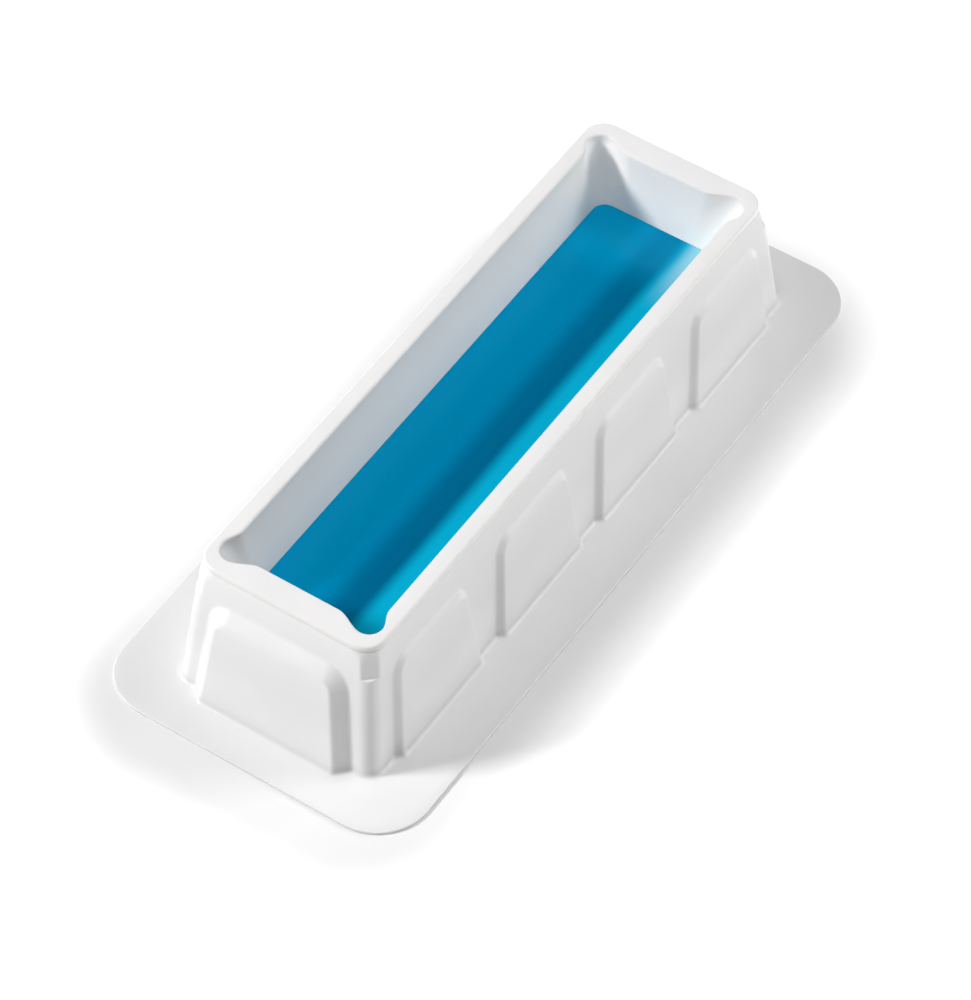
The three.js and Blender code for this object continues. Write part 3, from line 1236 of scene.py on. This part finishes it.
@dataclass
class Studio:
    """A white floor, soft lights and the camera.

    Attributes:
        azimuth: Degrees that the camera stands to the right of straight in front.
        elevation: Degrees that it looks down.
        roll: Degrees that it leans.
        distance: Distance from the camera to its target.
        target: The point that it looks at.
        lens: Focal length in millimetres.
        sensor: Width of the sensor in millimetres.
        half: Half size of the floor.
        sink: How far the floor lies under the table's height, so that the flange doesn't touch it.
        white: Colour of the floor.
        glow: Strength of the floor's glow well away from the mould.
        glow_reach: Distance over which the glow grows to that.
        patch_corner: Corner radius of the patch that doesn't glow.
        patch_right: How far the patch lies towards the right.
        patch_forward: How far the patch lies towards the front.
        patch_margin: How far the patch's outline is drawn in from the flange's.
        lamp_reach: Distance from the mould to each lamp.
        lamps: The lamps.
        sky_strength: Strength of the even light from all round.
    """

    azimuth: float = 33.48
    elevation: float = 50.62
    roll: float = 0.38
    distance: float = 1.6931
    target: tuple[float, float, float] = (3.46 * MM, -7.37 * MM, 0.0)
    lens: float = 174.34
    sensor: float = 36.0
    half: float = 4.0
    sink: float = 0.05 * MM
    white: Colour = (0.77, 0.77, 0.77, 1.0)
    glow: float = 0.42
    glow_reach: float = 29.0 * MM
    patch_corner: float = 30.0 * MM
    patch_right: float = 3.0 * MM
    patch_forward: float = 14.0 * MM
    patch_margin: float = 1.5 * MM
    lamp_reach: float = 1.6
    lamps: tuple[Lamp, ...] = (
        Lamp("key", -50.0, 39.0, 0.3, 21.2),
        Lamp("left", -110.0, 20.0, 0.3, 1.3),
        Lamp("back_left", -150.0, 20.0, 0.3, 2.0),
        Lamp("top", 0.0, 80.0, 0.3, 7.1),
        Lamp("right", 100.0, 20.0, 0.3, 1.8),
        Lamp("back_right", 130.0, 39.0, 0.55, 10.8),
        Lamp("far_end", 155.0, 28.0, 0.3, 3.0),
    )
    sky_strength: float = 0.01

    def camera(self) -> None:
        """Stands the camera on its sphere round the target."""
        az, el, roll = (math.radians(v) for v in (self.azimuth, self.elevation, self.roll))
        back = Vector((math.sin(az) * math.cos(el), -math.cos(az) * math.cos(el), math.sin(el)))
        right = Vector((0.0, 0.0, 1.0)).cross(back).normalized()
        up = back.cross(right)
        leaned_right = math.cos(roll) * right + math.sin(roll) * up
        leaned_up = math.cos(roll) * up - math.sin(roll) * right
        data = bpy.data.cameras.new("camera")
        data.lens = self.lens
        data.sensor_width = self.sensor
        data.clip_end = 5.0 * self.half
        made = bpy.data.objects.new("camera", data)
        turn = Matrix((leaned_right, leaned_up, back)).transposed().to_4x4()
        made.matrix_world = Matrix.Translation(Vector(self.target) + self.distance * back) @ turn
        bpy.context.scene.collection.objects.link(made)
        bpy.context.scene.camera = made

    def floor(self) -> None:
        """Lays a wide white floor at the table's height.

        The floor glows with painted light, except for a dark patch under the flange, a little towards the
        front and the right. The glow grows with the distance from that patch, a rectangle with round corners,
        so that only the nearest shadow is left. The distance is the length from the rectangle through the
        corners' centres, less the corner radius.
        """
        half, sink = self.half, -self.sink
        mesh = bpy.data.meshes.new("floor")
        corners = [(-half, -half, sink), (half, -half, sink), (half, half, sink), (-half, half, sink)]
        mesh.from_pydata(corners, [], [(0, 1, 2, 3)])
        made = bpy.data.objects.new("floor", mesh)
        bpy.context.scene.collection.objects.link(made)
        flange = CAD_BOX[1]
        paint = Paint("painted_glow_floor")
        inner_x = flange.x - self.patch_corner - self.patch_margin
        inner_y = flange.y - self.patch_corner - self.patch_margin
        beyond_x = (abs(paint.axis("X") - self.patch_right) - inner_x).at_least(0.0)
        beyond_y = (abs(paint.axis("Y") + self.patch_forward) - inner_y).at_least(0.0)
        distance = (beyond_x * beyond_x + beyond_y * beyond_y) ** 0.5 - self.patch_corner
        # Painted light: the floor glows more with distance from the patch, fading the mould's shadow into
        # white.
        glow = paint.step(distance, 0.0, self.glow_reach)
        colour = paint.mix(glow, (0.0, 0.0, 0.0, 1.0), (self.glow, self.glow, self.glow, 1.0))
        constants = {"Base Color": self.white, "Roughness": 0.9, "Emission Strength": 1.0}
        made.data.materials.append(paint.finish({"Emission Color": colour}, constants))

    def hang(self, lamp: Lamp) -> None:
        """Hangs a lamp in its place, turned towards the mould.

        Args:
            lamp: The lamp.
        """
        az, el = math.radians(lamp.azimuth), math.radians(lamp.elevation)
        away = Vector((math.sin(az) * math.cos(el), -math.cos(az) * math.cos(el), math.sin(el)))
        data = bpy.data.lights.new(lamp.name, "AREA")
        data.size = lamp.size
        data.energy = lamp.power
        made = bpy.data.objects.new(lamp.name, data)
        made.location = away * self.lamp_reach
        made.rotation_euler = away.to_track_quat("Z", "Y").to_euler()
        bpy.context.scene.collection.objects.link(made)

    def sky(self) -> None:
        """Fills the room with even white light from a world of its own."""
        world = bpy.data.worlds.new("studio")
        world.use_nodes = True
        background = world.node_tree.nodes["Background"]
        background.inputs["Color"].default_value = (1.0, 1.0, 1.0, 1.0)
        background.inputs["Strength"].default_value = self.sky_strength
        bpy.context.scene.world = world

    def build(self) -> None:
        """Sets up the whole studio."""
        self.camera()
        self.floor()
        for lamp in self.lamps:
            self.hang(lamp)
        self.sky()
        bpy.context.scene.view_settings.view_transform = "Standard"
        bpy.context.scene.view_settings.look = "None"


def main() -> None:
    """Builds the pieces in order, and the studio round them."""
    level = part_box("soap_loaf")[1].z
    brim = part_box("silicone_liner")[1].z
    cavity = CavityShape(brim=brim - LIP_FACE, level=level)
    CarrierTray(cavity, brim).build(FormedPlastic().material())
    SiliconeLiner(cavity).build(WhiteSilicone().material())
    SoapLoaf(cavity).build(BlueSoap().material())
    Studio().build()


if __name__ == "__main__":
    main()
